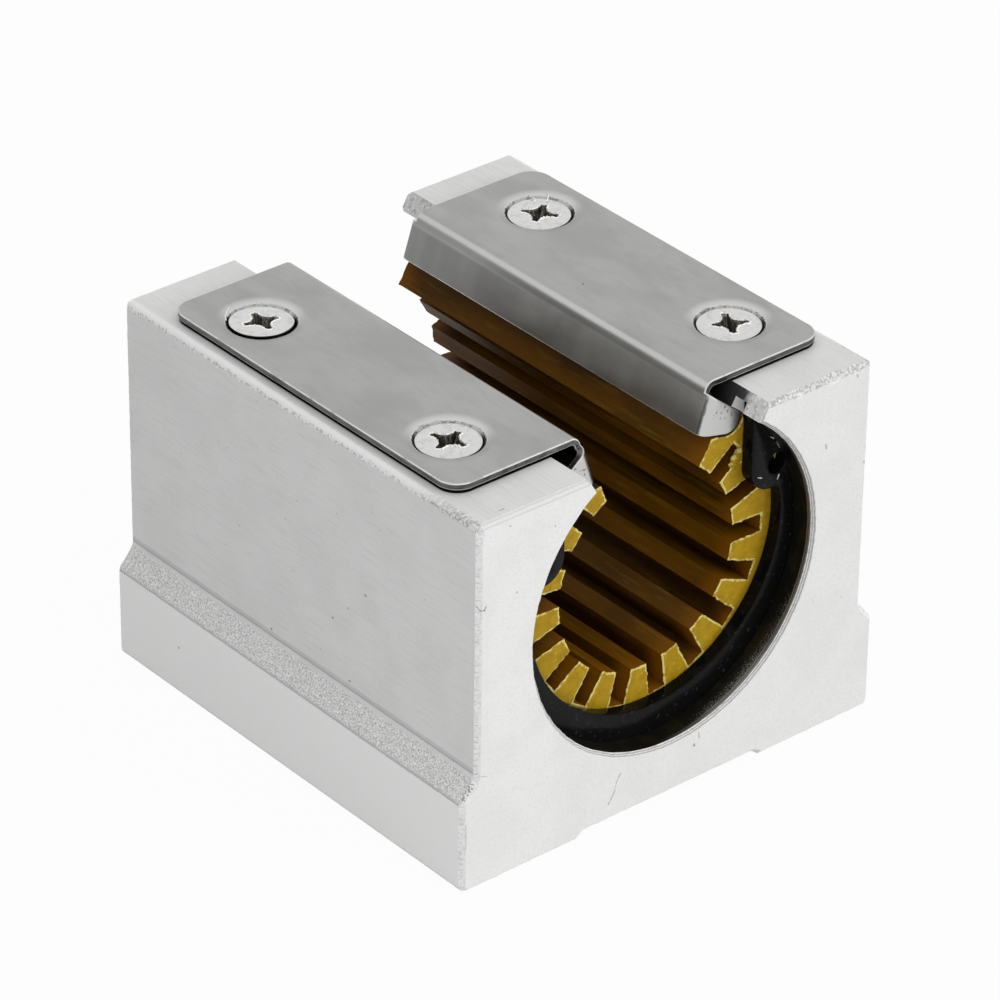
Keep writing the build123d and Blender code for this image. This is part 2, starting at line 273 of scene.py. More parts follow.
class Look:
    """A procedural material on the Principled shader, drawn in millimetres of the row's frame."""

    def __init__(self, name, color, metallic, roughness, specular=0.5):
        self.material = bpy.data.materials.new(name)
        self.material.use_nodes = True
        self.tree = self.material.node_tree
        self.shader = self.tree.nodes["Principled BSDF"]
        self.color = rgba(color)
        names = ("Base Color", "Metallic", "Roughness", "Specular IOR Level")
        for socket, value in zip(names, (self.color, metallic, roughness, specular)):
            self.shader.inputs[socket].default_value = value
        self.color_source = None
        self.heights = []
        self.mark_rag = None
        place = self.tree.nodes.new("ShaderNodeTexCoord")
        scaled = add(self.tree, "VectorMath", operation="SCALE", Scale=1 / MM)
        self.place = feed(self.tree, place.outputs["Object"], scaled, 0).outputs[0]

    def clouds(self, size, detail=3, pull=(1, 1, 1)):
        """Noise from 0 to 1 with features of about a size, which a pull below 1 draws out along an axis."""
        pulled = compute(self.tree, "VectorMath", "MULTIPLY", self.place, pull)
        made = add(self.tree, "TexNoise", Scale=1 / size, Detail=detail)
        return feed(self.tree, pulled.outputs[0], made, "Vector").outputs["Fac"]

    def fit(self, source, low, high, to_low=0.0, to_high=1.0):
        return ranged(self.tree, source, low, high, to_low, to_high)

    def spots(self, low, high, *cloud):
        """Clouds as a mask, which goes from 0 to 1 between two of their levels."""
        return self.fit(self.clouds(*cloud), low, high)

    def math(self, operation, *values):
        return compute(self.tree, "Math", operation, *values).outputs[0]

    def axis(self, name):
        return feed(self.tree, self.place, add(self.tree, "SeparateXYZ"), "Vector").outputs[name]

    def pits(self, size, radius, share):
        """Sparse round pits: 1 inside one, 0 outside."""
        scattered = add(self.tree, "TexVoronoi", Scale=1 / size)
        feed(self.tree, self.place, scattered, "Vector")
        distance = scattered.outputs["Distance"]
        parts = feed(self.tree, scattered.outputs["Color"], add(self.tree, "SeparateColor"), "Color")
        chosen = self.fit(parts.outputs[0], 1 - share, 1 - share + 0.01)
        return self.times(self.fit(distance, radius / size, radius / size * 0.4), chosen)

    def mark(self, start, end, width):
        """A ragged line between two places: 1 on it, 0 beside it."""
        start, end = Vector(start), Vector(end)
        along = (end - start).normalized()
        away = compute(self.tree, "VectorMath", "SUBTRACT", self.place, start).outputs[0]
        reach = compute(self.tree, "VectorMath", "DOT_PRODUCT", away, along)
        held = add(self.tree, "Clamp", Max=(end - start).length)
        feed(self.tree, reach.outputs["Value"], held, "Value")
        foot = compute(self.tree, "VectorMath", "SCALE", along)
        feed(self.tree, held.outputs[0], foot, "Scale")
        gap = compute(self.tree, "VectorMath", "DISTANCE", away, foot.outputs[0])
        if self.mark_rag is None:
            self.mark_rag = self.fit(self.clouds(0.25, 1), 0.3, 0.7, 0.7, 1.7)
        worn = self.less(self.math("DIVIDE", gap.outputs["Value"], width), self.mark_rag)
        return self.fit(worn, 0, -0.4)

    def marks(self, rows, color):
        """Lines of one colour, each from its start, end, width and strength."""
        for start, end, width, strength in rows:
            self.tint(self.mark(start, end, width), color, strength)

    def tint(self, mask, color, share=1.0):
        """Lays a colour over the base colour where the mask is 1."""
        mixed = add(self.tree, "Mix", data_type="RGBA")
        if self.color_source is None:
            mixed.inputs[MIX_FIRST].default_value = self.color
        else:
            feed(self.tree, self.color_source, mixed, MIX_FIRST)
        mixed.inputs[MIX_SECOND].default_value = rgba(color)
        feed(self.tree, self.times(mask, share), mixed, MIX_SHARE)
        self.color_source = mixed.outputs[2]
        feed(self.tree, self.color_source, self.shader, "Base Color")

    def rise(self, height, depth):
        """Adds relief of a depth in millimetres."""
        self.heights.append(self.times(height, depth))

    def made(self):
        total = self.plus(*self.heights)
        bump = add(self.tree, "Bump", Strength=1, Distance=MM)
        feed(self.tree, total, bump, "Height")
        feed(self.tree, bump.outputs["Normal"], self.shader, "Normal")
        return self.material

    def near(self, source, place, reach):
        """1 within a reach of a place along one axis, 0 beyond it."""
        gap = self.math("ABSOLUTE", self.less(source, place))
        return self.fit(gap, reach, reach * 0.4)

    def times(self, first, *others):
        for other in others:
            first = self.math("MULTIPLY", first, other)
        return first

    def plus(self, first, *others):
        for other in others:
            first = self.math("ADD", first, other)
        return first

    def less(self, a, b):
        return self.math("SUBTRACT", a, b)

    def length(self, a, b):
        return self.math("SQRT", self.plus(self.math("POWER", a, 2), self.math("POWER", b, 2)))

    def rough(self, source, low, high):
        feed(self.tree, self.fit(source, 0.3, 0.7, low, high), self.shader, "Roughness")


def aluminium(name="aluminium_face", edge=False):
    """Extruded and milled aluminium, with a rougher look along its outer edges, a painted highlight along its
    rounded top edges, and painted shade above its shoulders and under the covers.
    """
    look = Look(name, (0.78, 0.78, 0.775), 0.12, 0.5, 0.2)
    aside, along, up = (look.math("ABSOLUTE", look.axis(name)) for name in "XYZ")
    look.tint(look.spots(0.4, 0.62, 7, 5), (0.72, 0.72, 0.715), 0.5)
    drawn = look.clouds(0.35, 3, (1, 0.07, 1))
    look.tint(look.fit(drawn, 0.5, 0.66), (0.66, 0.66, 0.655), 0.35)
    grain = look.clouds(0.2, 2)
    look.tint(look.fit(grain, 0.56, 0.68), 0.5, 0.2)
    look.rise(grain, 0.02)
    look.rise(look.clouds(0.6, 4), 0.02)
    pits = look.pits(2.3, 0.12, 0.3)
    look.tint(pits, 0.2, 0.55)
    look.rise(pits, -0.03)
    outside = look.fit(along, BLOCK_HIGH.y - 0.3, BLOCK_HIGH.y - 0.5)
    rag = look.times(look.less(look.clouds(0.6, 4), 0.5), 2)
    foot = look.times(look.fit(aside, BLOCK_HIGH.x - 0.2, BLOCK_HIGH.x - 0.05), outside)
    look.tint(foot, (0.95, 0.95, 0.945), 0.85)
    shoulder = look.times(
        outside, look.fit(aside, UPPER_EDGE + 0.03, UPPER_EDGE + 0.15),
        look.fit(up, SHOULDER_LOW, SHOULDER_LOW + 0.3),
        look.fit(up, SHOULDER_HIGH - 0.1, SHOULDER_HIGH - 0.4),
    )
    look.rise(look.times(grain, shoulder), 0.1)
    look.tint(shoulder, (0.7, 0.7, 0.695), 0.8)
    spotted = look.clouds(0.2, 2)
    look.tint(look.times(look.fit(spotted, 0.52, 0.6), shoulder), 1, 0.8)
    look.tint(look.times(look.fit(spotted, 0.44, 0.34), shoulder), 0.36, 0.7)
    uneven = look.plus(up, look.times(rag, 0.12))
    # Painted shade: a soft dark band just above each shoulder; thin dark lines also run along the shoulder's
    # upper and lower edges.
    lines = ((SHOULDER_HIGH + 0.25, 0.5, 0.35), (SHOULDER_HIGH, 0.18, 0.6), (SHOULDER_LOW, 0.18, 0.6))
    for place, width, strength in lines:
        line = look.times(
            look.near(uneven, place, width), outside, look.fit(aside, UPPER_EDGE - 0.1, UPPER_EDGE - 0.03)
        )
        look.tint(line, 0.36, strength)
    worn = look.clouds(0.35, 3)
    level = look.plus(up, look.times(rag, 0.5))
    # Painted highlight: a bright band along the rounded top edges, mottled darker towards the front, with a
    # thin dark mottled line along its lower border.
    rounded_edge = look.times(
        outside, look.fit(look.plus(aside, look.times(rag, 0.2)), UPPER_EDGE - 1, UPPER_EDGE - 0.5),
        look.fit(level, TOP_ROUND_LEVEL - 0.2, TOP_ROUND_LEVEL + 0.3),
    )
    look.tint(rounded_edge, (1, 1, 0.99), 0.7)
    corner = look.times(rounded_edge, look.fit(look.axis("Y"), -19, -28))
    look.tint(look.times(look.fit(worn, 0.3, 0.6), corner), (0.4, 0.39, 0.38), 0.75)
    rim = look.times(rounded_edge, look.near(level, TOP_ROUND_LEVEL + 0.1, 0.4))
    look.tint(look.times(look.fit(worn, 0.46, 0.58), rim), 0.3, 0.6)
    # Painted shadow: the block's top goes black under the covers' outline.
    past_x = look.math("MAXIMUM", look.less(aside, COVER_HIGH.x - PLATE_CORNER), 0)
    past_y = look.math("MAXIMUM", look.less(along, PLATE_END - PLATE_CORNER), 0)
    reach = look.length(past_x, past_y)
    cover_shadow = look.times(
        look.fit(reach, PLATE_CORNER - 0.02, PLATE_CORNER - 0.2),
        look.fit(up, BLOCK_HIGH.z - 0.15, BLOCK_HIGH.z - 0.05),
    )
    look.tint(cover_shadow, 0.012)
    if edge:
        upper = look.fit(up, TOP_ROUND_LEVEL, TOP_ROUND_LEVEL + 0.3)
        side_strip = look.fit(up, TOP_ROUND_LEVEL + 0.3, TOP_ROUND_LEVEL)
        look.tint(upper, (0.7, 0.7, 0.695), 0.6)
        rougher = look.times(upper, look.fit(look.axis("X"), 5, 9))
        look.tint(look.times(look.fit(worn, 0.48, 0.58), rougher), (0.36, 0.36, 0.355), 0.8)
        look.tint(look.times(look.fit(worn, 0.4, 0.3), rougher), (1, 1, 0.99), 0.7)
        look.tint(side_strip, (0.86, 0.86, 0.855), 0.9)
        look.tint(look.times(look.fit(worn, 0.46, 0.62), side_strip), 0.6, 0.5)
        look.rise(look.clouds(0.25, 3), 0.05)
        wave = look.math("SINE", look.plus(look.times(up, 8.4), look.times(rag, 1.6)))
        ticks = look.times(
            look.fit(wave, 0.7, 0.98), look.spots(0.45, 0.55, 1.1, 1), side_strip,
            look.fit(along, BLOCK_HIGH.y - 0.1, BLOCK_HIGH.y - 0.3),
        )
        look.tint(ticks, 0.3, 0.35)
        height = look.less(look.axis("Z"), BORE_HEIGHT)
        radius = look.length(aside, height)
        mouth = look.fit(radius, BORE_RADIUS + 1, BORE_RADIUS + 0.8)
        for place in (BLOCK_HIGH.y - 0.12, BLOCK_HIGH.y - 0.32):
            look.tint(look.times(look.near(along, place, 0.09), mouth), (0.3, 0.3, 0.29), 0.7)
        for place in (BLOCK_HIGH.y - 0.42, BLOCK_HIGH.y - 0.04):
            look.tint(look.times(look.near(along, place, 0.09), upper), 0.5, 0.5)
    look.marks(MARKS, 0.12)
    return look.made()


def sawn():
    look = Look("aluminium_sawn", (0.74, 0.74, 0.735), 0.12, 0.45)
    look.tint(look.spots(0.5, 0.64, 0.45, 4), (0.42, 0.42, 0.415), 0.7)
    look.tint(look.spots(0.58, 0.68, 0.35, 3), 0.98, 0.9)
    look.rise(look.clouds(0.4, 3), 0.06)
    along = look.axis("Y")
    # Painted shadow: the slot wall goes black from just behind its front end, where the cover's tab shades
    # it.
    front = look.fit(look.plus(along, look.clouds(0.6, 3)), -28, -26.4)
    look.tint(look.times(front, look.fit(along, 20, 10)), 0.01, 0.97)
    # Painted highlights: bright lines along a step in the slot wall.
    look.marks(STEP_HIGHLIGHTS, (0.85, 0.85, 0.84))
    return look.made()


def bore_wall():
    # Painted shade and light: the bore wall is near black, with bright grains only on its lower right and a
    # bright band at its mouth on the right, where it is painted as lit.
    look = Look("bore_wall", (0.018, 0.017, 0.012), 0.7, 0.3)
    along = look.math("ABSOLUTE", look.axis("Y"))
    reach = look.fit(look.axis("X"), -2, 8)
    lower = look.fit(look.axis("Z"), 30, 12)
    grain = look.clouds(0.13, 2)
    lit_grain_area = look.times(reach, lower, look.fit(along, 27.6, 30.2))
    level = look.less(0.8, look.times(lit_grain_area, 0.4))
    look.tint(look.spots(0.45, 0.65, 2.5), (0.05, 0.042, 0.012), 0.6)
    look.tint(look.fit(look.less(grain, level), 0, 0.16), (0.34, 0.335, 0.31), 0.85)
    mouth = look.times(reach, look.fit(along, BLOCK_HIGH.y - 1.1, BLOCK_HIGH.y - 0.8))
    look.tint(mouth, (0.56, 0.56, 0.55), 0.8)
    grooves = look.fit(look.math("SINE", look.times(along, 20)), 0, 0.7)
    look.tint(look.times(grooves, mouth), 0.04, 0.85)
    look.rise(look.clouds(0.3, 2, (1, 4, 1)), 0.03)
    return look.made()


def from_screw(look):
    """The distance to the nearest screw's axis, and how far beyond it a place lies."""
    gaps = []
    for name, place in (("X", SCREW_X), ("Y", SCREW_Y)):
        axis = look.axis(name)
        gaps.append(look.less(axis, look.times(look.math("SIGN", axis), place)))
    shares = [look.times(gap, share) for gap, share in zip(gaps, LIT_WAY)]
    return look.length(*gaps), look.plus(*shares)


def steel():
    look = Look("satin_steel", (0.39, 0.39, 0.38), 1, 0.32)
    look.rough(look.clouds(4, 3, (1, 0.35, 1)), 0.28, 0.38)
    look.tint(look.spots(0.38, 0.66, 5, 4, (1, 0.5, 1)), (0.33, 0.33, 0.318), 0.8)
    look.tint(look.spots(0.5, 0.7, 0.5, 3, (1, 0.2, 1)), (0.31, 0.31, 0.3), 0.3)
    look.rise(look.clouds(0.9, 2, (1, 0.1, 1)), 0.004)
    look.rise(look.clouds(0.15, 2), 0.003)
    specks = look.pits(3.1, 0.1, 0.2)
    look.tint(specks, 0.12, 0.7)
    look.rise(specks, -0.02)
    up, along = look.axis("Z"), look.math("ABSOLUTE", look.axis("Y"))
    flange = look.fit(up, 45.9, 45.2)
    # Painted shade: the flange is darker towards its rear end.
    rear = look.times(flange, look.fit(look.axis("Y"), 2, 15))
    look.tint(rear, (0.18, 0.18, 0.176), 0.9)
    banded = look.spots(0.42, 0.62, 3, 2, (0.2, 1, 0.2))
    look.tint(look.times(banded, flange), (0.28, 0.28, 0.27), 0.3)
    # Painted shade along the lower part of the bend and the flange's top, and a painted highlight along the
    # bend's upper part.
    look.tint(look.near(up, 46.05, 0.5), (0.16, 0.16, 0.155), 0.5)
    look.tint(look.near(up, 46.75, 0.3), (0.6, 0.6, 0.59), 0.65)
    reach, behind = from_screw(look)
    # Painted highlight on the far side of the dish round each screw, and painted shade on its near side.
    dish = look.times(look.fit(reach, 5.4, 4.1), look.fit(up, 46.8, 46.9))
    look.tint(look.times(dish, look.fit(behind, -1, 3)), (0.68, 0.68, 0.67), 0.7)
    look.tint(look.times(dish, look.fit(behind, 0, -3)), (0.2, 0.2, 0.195), 0.5)
    # Painted light: the tab at each end of the flange is lighter.
    tab = look.times(look.fit(along, PLATE_END + 0.25, PLATE_END + 0.5), look.fit(up, 46.5, 46))
    look.tint(tab, (0.6, 0.6, 0.585), 0.9)
    # Painted shade: a dark stripe across the flange at the tab's bend.
    dark = look.near(look.plus(along, look.times(look.clouds(0.8), 0.3)), PLATE_END + 0.62, 0.26)
    look.tint(look.times(dark, flange), (0.12, 0.12, 0.115), 0.8)
    chewed = look.times(look.fit(along, PLATE_END + 1.1, PLATE_END + 1.2), look.fit(up, 42.2, 43.2))
    look.tint(look.times(look.spots(0.56, 0.64, 0.5, 4), chewed), 0.1, 0.8)
    look.marks(PLATE_MARKS, 0.1)
    return look.made()


def spotted_look(name, color, metallic, roughness, spots, tone, share, grain, depth):
    """A material with spots of another tone and a fine relief, and nothing else."""
    look = Look(name, color, metallic, roughness)
    look.tint(look.spots(*spots), tone, share)
    look.rise(look.clouds(*grain), depth)
    return look.made()


def sheared():
    spots = (0.4, 0.65, 1.1, 3, (1, 0.3, 3))
    color, tone = (0.17, 0.17, 0.166), (0.06, 0.06, 0.058)
    return spotted_look("steel_cut_edge", color, 1, 0.35, spots, tone, 0.7, (0.3, 2), 0.01)


# Painted highlight: the sheet's rolled edge is given a bright steel.
def edge_highlight():
    spots = (0.5, 0.68, 1.5, 3)
    color, tone = (0.7, 0.7, 0.69), (0.38, 0.38, 0.37)
    return spotted_look("steel_edge_highlight", color, 0.5, 0.4, spots, tone, 0.8, (0.3, 2), 0.01)


def dimple():
    """The wall round a screw's head: painted dark as shade, with a painted highlight on its far side."""
    look = Look("steel_dimple", (0.02, 0.02, 0.019), 1, 0.4)
    behind = from_screw(look)[1]
    look.tint(look.fit(behind, 0.6, 2.4), (0.5, 0.5, 0.49), 0.9)
    look.tint(look.spots(0.5, 0.65, 0.5, 2), 0.015, 0.5)
    look.rise(look.clouds(0.3, 2), 0.01)
    return look.made()


def black_finish():
    look = Look("black_finish", 0.004, 0, 0.2, 0.08)
    look.rough(look.clouds(0.8), 0.14, 0.26)
    look.rise(look.clouds(0.4, 3), 0.008)
    look.tint(look.spots(0.6, 0.72, 0.5, 4), 0.03, 0.6)
    # Painted highlights: bright glints on the front ring's edge.
    for (x, z), (x2, z2), width in GLINTS:
        line = look.mark((x, RING_FACE, z), (x2, RING_FACE, z2), width)
        look.tint(line, 0.75, 0.8)
    return look.made()


def ribs():
    look = Look("liner_moulded", (0.13, 0.052, 0.002), 0, 0.45, 0.08)
    look.tint(look.spots(0.4, 0.65, 4, 3, (1, 0.3, 1)), (0.06, 0.026, 0.001), 0.7)
    look.tint(look.spots(0.52, 0.7, 0.5, 3, (1, 0.08, 1)), (0.22, 0.12, 0.01), 0.4)
    # Painted light: the ribs' sides turn lighter and more orange towards the liner's ends.
    glow = look.fit(look.math("ABSOLUTE", look.axis("Y")), LINER_HIGH.y - 3.5, LINER_HIGH.y)
    look.tint(glow, (0.26, 0.09, 0.003), 0.6)
    shaded = look.times(
        look.fit(look.axis("Z"), 38, 39), look.fit(look.axis("X"), -4, -5), look.fit(look.axis("Y"), -12, -20)
    )
    look.tint(shaded, (0.004, 0.003, 0.002))
    look.rise(look.clouds(0.5, 3, (1, 0.15, 1)), 0.02)
    return look.made()


def rib_ends():
    look = Look("liner_cut_end", (0.39, 0.24, 0.01), 0, 0.5, 0.12)
    look.tint(look.spots(0.42, 0.65, 1.2, 4), (0.31, 0.185, 0.006), 0.7)
    look.tint(look.spots(0.6, 0.7, 0.35, 3), (0.5, 0.36, 0.05), 0.6)
    # Painted shadow: the liner's end is black behind the ring's lug hole.
    hole = Vector((LUG_HOLE[0], LINER_LOW.y, LUG_HOLE[1]))
    look.tint(look.mark(hole, hole + Vector((0.3, 0, 0)), 1.9), (0.01, 0.008, 0.003))
    look.rise(look.clouds(0.3, 3), 0.02)
    return look.made()


# Bright yellow for the burred rims of the rib ends, and as painted light on the crumbs' upper faces.
def burr_and_lit_tops():
    spots = (0.48, 0.6, 0.6, 3)
    color, tone = (0.62, 0.54, 0.16), (0.36, 0.215, 0.012)
    return spotted_look("liner_burr_and_lit_tops", color, 0, 0.5, spots, tone, 0.9, (0.2, 3), 0.05)


def nickel():
    look = Look("bright_nickel", (0.66, 0.66, 0.65), 1, 0.25)
    look.rough(look.clouds(1.2, 0), 0.2, 0.34)
    look.rise(look.clouds(1.5, 0), 0.006)
    look.tint(look.spots(0.5, 0.66, 0.9, 3), (0.52, 0.52, 0.51), 0.6)
    look.tint(look.pits(1.3, 0.08, 0.2), 0.2, 0.6)
    return look.made()


# Near white: bright torn metal on the slivers, and a painted highlight on the raised lips round each recess.
def torn_and_highlight():
    spots = (0.58, 0.66, 0.18, 2)
    color, tone = (0.98, 0.98, 0.97), (0.25, 0.25, 0.24)
    return spotted_look("nickel_torn_and_highlight", color, 0.3, 0.3, spots, tone, 0.8, (0.15, 2), 0.04)


def recess():
    # Painted shade: the recess walls are dark.
    spots = (0.5, 0.62, 0.3, 2, (1, 1, 0.25))
    color, tone = (0.13, 0.12, 0.1), (0.4, 0.38, 0.32)
    return spotted_look("recess_wall", color, 0.9, 0.4, spots, tone, 0.8, (0.2, 3), 0.05)


# Mesh helpers


def placed(name, data):
    """A new object in the scene."""
    made = bpy.data.objects.new(name, data)
    bpy.context.scene.collection.objects.link(made)
    return made


def finish_piece(name, bm, materials, node, sharp):
    """Turns a mesh in millimetres into a piece that stands for a CAD node."""
    for face in bm.faces:
        face.smooth = True
    for edge in bm.edges:
        edge.smooth = edge.is_manifold and edge.calc_face_angle(0) < math.radians(sharp)
    bmesh.ops.transform(bm, matrix=Matrix.Scale(MM, 4), verts=bm.verts)
    mesh = bpy.data.meshes.new(name)
    bm.to_mesh(mesh)
    bm.free()
    for material in materials:
        mesh.materials.append(material)
    piece = placed(name, mesh)
    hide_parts(node)
    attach(piece, "root")
    return piece


def solid_mesh(node):
    """A CAD node's mesh in millimetres, with its triangles joined into flat faces."""
    bm = bmesh.new()
    bm.from_mesh(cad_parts[node].data)
    bmesh.ops.transform(bm, matrix=Matrix.Scale(1 / MM, 4), verts=bm.verts)
    bmesh.ops.remove_doubles(bm, verts=bm.verts, dist=0.002)
    bmesh.ops.dissolve_limit(bm, angle_limit=math.radians(0.6), verts=bm.verts, edges=bm.edges)
    bm.normal_update()
    return bm


def around(faces):
    """Faces with their edges and corners, each once and in the same order each run."""
    parts = dict.fromkeys(faces)
    for face in faces:
        parts.update(dict.fromkeys([*face.edges, *face.verts]))
    return list(parts)


def slice_faces(bm, faces, origin, normal, steps):
    """Cuts some faces, and no others, by planes a step apart."""
    for distance in steps:
        cut = bmesh.ops.bisect_plane(
            bm, geom=around(faces), plane_co=origin + normal * distance, plane_no=normal, dist=1e-4
        )
        faces = [part for part in cut["geom"] if isinstance(part, bmesh.types.BMFace)]
    return faces


def even_steps(length, spacing):
    count = max(1, round(length / spacing))
    return [length * step / count for step in range(1, count)]


def split_edge(edge, spacing):
    """Cuts an edge into equal pieces of about a length."""
    start = edge.verts[0]
    for left in range(max(1, round(edge.calc_length() / spacing)), 1, -1):
        start = bmesh.utils.edge_split(edge, start, 1 / left)[1]


def ragged(place, size, seed=0.0):
    """Uneven noise from 0 to 1 at a place."""
    value = noise.fractal(Vector(place) / size + Vector((seed, seed, seed)), 1.0, 2.0, 3)
    return min(1, max(0, 0.5 + 0.5 * value))


def ray(angle):
    """The way of an angle, one unit long."""
    return Vector((math.cos(angle), math.sin(angle)))


def circle(steps, radius=1.0):
    """Points at equal steps round a circle."""
    return [ray(math.tau * step / steps) * radius for step in range(steps)]


def loop_edges(first, count):
    """The edges that close a line of numbered points."""
    return [(first + step, first + (step + 1) % count) for step in range(count)]


def closed_row(bm, points):
    """New corners at some points, with the first one again at the end."""
    row = [bm.verts.new(point) for point in points]
    return row + row[:1]


def quads(bm, rows):
    """Joins rows of corners into faces."""
    made = []
    for low, high in zip(rows, rows[1:]):
        for corners in zip(low, low[1:], high[1:], high):
            if len(set(corners)) == 4:
                made.append(bm.faces.new(corners))
    return made


def finer(line, step):
    """A line with more points between its own, without the last one."""
    out = []
    for a, b in zip(line, line[1:]):
        parts = max(1, round((b - a).length / step))
        out.extend(a.lerp(b, part / parts) for part in range(parts))
    return out


def filled(bm, points, edges, border, height, kept):
    """Faces between points of a plane, and inside its border if there is one, where a test keeps them."""
    places, _, faces = delaunay_2d_cdt(points, edges, border, len(border), 1e-6)[:3]
    verts = [bm.verts.new((*place, height(place))) for place in places]
    for face in faces:
        if kept(sum((places[index] for index in face), Vector((0, 0))) / len(face)):
            bm.faces.new([verts[index] for index in face])


def tube(bm, points, radius, sides=7):
    """A round sliver through some points, thinner towards its end."""
    rows = []
    for index, point in enumerate(points):
        ahead = points[min(index + 1, len(points) - 1)] - points[max(index - 1, 0)]
        aside = ahead.cross(Vector((0.3, -0.2, 1))).normalized()
        over = aside.cross(ahead).normalized()
        reach = radius * (1 - 0.7 * index / (len(points) - 1))
        rows.append(closed_row(bm, [point + aside * spot.x + over * spot.y for spot in circle(sides, reach)]))
    return quads(bm, rows) + [bm.faces.new(ring[:-1]) for ring in (rows[0], rows[-1])]


# Housing


def end_strips(bm):
    """The flat chamfers round the block's two ends."""
    near_end = [face for face in bm.faces if abs(abs(face.calc_center_median().y) - BLOCK_HIGH.y) < 0.6]
    return [face for face in near_end if 0.5 < abs(face.normal.y) < 0.9]


def make_housing():
    bm = solid_mesh("housing")
    for face in bm.faces:
        middle = face.calc_center_median()
        reach = math.hypot(middle.x, middle.z - BORE_HEIGHT)
        if abs(face.normal.x) > 0.7 and abs(middle.x) < SLOT_REACH and middle.z > SLOT_FOOT:
            face.material_index = 2
        elif abs(reach - BORE_RADIUS) < 0.25 and abs(face.normal.y) < 0.1:
            face.material_index = 3
    done = []
    for strip in end_strips(bm):
        start, end = max(strip.edges, key=lambda edge: edge.calc_length()).verts
        along = end.co - start.co
        faces = [strip]
        if along.length > 1:
            origin, normal = start.co.copy(), along.normalized()
            faces = slice_faces(bm, faces, origin, normal, even_steps(along.length, EDGE_SPACING))
        done.extend(faces)
    strips = dict.fromkeys(face for face in done if face.is_valid)
    moves = {}
    for face in strips:
        face.material_index = 1
        for vert in face.verts:
            inward = -face.normal.copy()
            for other in vert.link_faces:
                if other not in strips and other.calc_area() > BROAD_AREA:
                    inward -= other.normal * inward.dot(other.normal)
            wear = EDGE_WEAR * ragged(vert.co, 0.9)
            for place, half, depth in CHIPS:
                gap = (vert.co - Vector(place)).length
                if gap < half:
                    wear += depth * (1 - (gap / half)**2) * (0.6 + 0.8 * ragged(vert.co, 0.4, 7))
            broad = [other for other in vert.link_faces if other.calc_area() > BROAD_AREA]
            if all(abs(other.normal.dot(face.normal)) >= 0.5 for other in broad):
                moves[vert] = inward * wear
    for vert, move in moves.items():
        vert.co += move
    looks = [aluminium(), aluminium("aluminium_edge", True), sawn(), bore_wall()]
    piece = finish_piece("housing_block", bm, looks, "housing", 35)
    piece.modifiers.new("flat_faces", "WEIGHTED_NORMAL").keep_sharp = True
    return piece


# Liner


def end_faces(bm):
    return [face for face in bm.faces if abs(abs(face.calc_center_median().y) - LINER_HIGH.y) < 1e-3]


def make_liner():
    bm = solid_mesh("liner")
    for side in (-1, 1):
        level = side * (LINER_HIGH.y - BURR_BAND)
        bmesh.ops.bisect_plane(
            bm, geom=bm.verts[:] + bm.edges[:] + bm.faces[:],
            plane_co=(0, level, 0), plane_no=(0, 1, 0), dist=1e-4,
        )
    bm.normal_update()
    ends = end_faces(bm)
    for end in ends:
        for edge in list(end.edges):
            split_edge(edge, BURR_SPACING)
    bmesh.ops.inset_region(bm, faces=ends, thickness=BORDER_WIDTH, use_even_offset=True)
    ends = end_faces(bm)
    for face in ends:
        face.material_index = 2 if len(face.verts) == 4 and face.calc_area() < 0.2 else 1
    for vert in {vert for face in ends for vert in face.verts}:
        outer = any(abs(face.normal.y) < 0.5 for face in vert.link_faces)
        middle = Vector((vert.co.x, 0, vert.co.z - BORE_HEIGHT))
        if middle.length > BORE_RADIUS - 0.3:
            continue
        pull = Vector((ragged(vert.co, 0.5, 3) - 0.5, 0, ragged(vert.co, 0.5, 9) - 0.5)) * 2 * BORDER_RAG
        vert.co += pull if outer else pull * 1.3
        if outer:
            vert.co.y -= math.copysign(0.1 * ragged(vert.co, 0.7, 5), vert.co.y)
    for place, radius in CRUMBS:
        lump = bmesh.ops.create_icosphere(bm, subdivisions=3, radius=radius)["verts"]
        for vert in lump:
            vert.co *= 0.65 + 0.7 * ragged(vert.co, 0.3, radius * 20)
            vert.co.y *= 0.35
            vert.co += Vector(place)
        # The crumbs' upper faces take the bright burr look as painted light, the rest the rib ends' look.
        for face in {face for vert in lump for face in vert.link_faces}:
            face.material_index = 1 + (face.calc_center_median().z > place[2] + 0.2)
    looks = [ribs(), rib_ends(), burr_and_lit_tops()]
    return finish_piece("liner_ribbed", bm, looks, "liner", 35)


# Retaining rings


def make_ring(end, look):
    node = "retaining_ring_" + end
    bm = solid_mesh(node)
    rims = [edge for edge in bm.edges if edge.is_manifold and edge.calc_face_angle(0) > math.radians(50)]
    bmesh.ops.bevel(bm, geom=rims, offset=0.16, segments=3, profile=0.5, affect="EDGES")
    return finish_piece("ring_" + end, bm, [look], node, 40)


# Covers


def rounded(points, radii, step=0.15):
    """A closed outline through corner points, with a round of its own radius at each."""
    out = []
    count = len(points)
    for index, (corner, radius) in enumerate(zip(points, radii)):
        before = (points[index - 1] - corner).normalized()
        after = (points[(index + 1) % count] - corner).normalized()
        if not radius:
            out.append(corner)
            continue
        half = before.angle(after) / 2
        reach = radius / math.tan(half)
        centre = corner + (before + after).normalized() * (radius / math.sin(half))
        start, end = corner + before * reach - centre, corner + after * reach - centre
        sweep = start.angle(end)
        pieces = max(4, round(sweep * radius / step))
        turn = 1 if start.x * end.y - start.y * end.x > 0 else -1
        first = math.atan2(start.y, start.x)
        for piece in range(pieces + 1):
            angle = first + turn * sweep * piece / pieces
            out.append(centre + ray(angle) * radius)
    return out


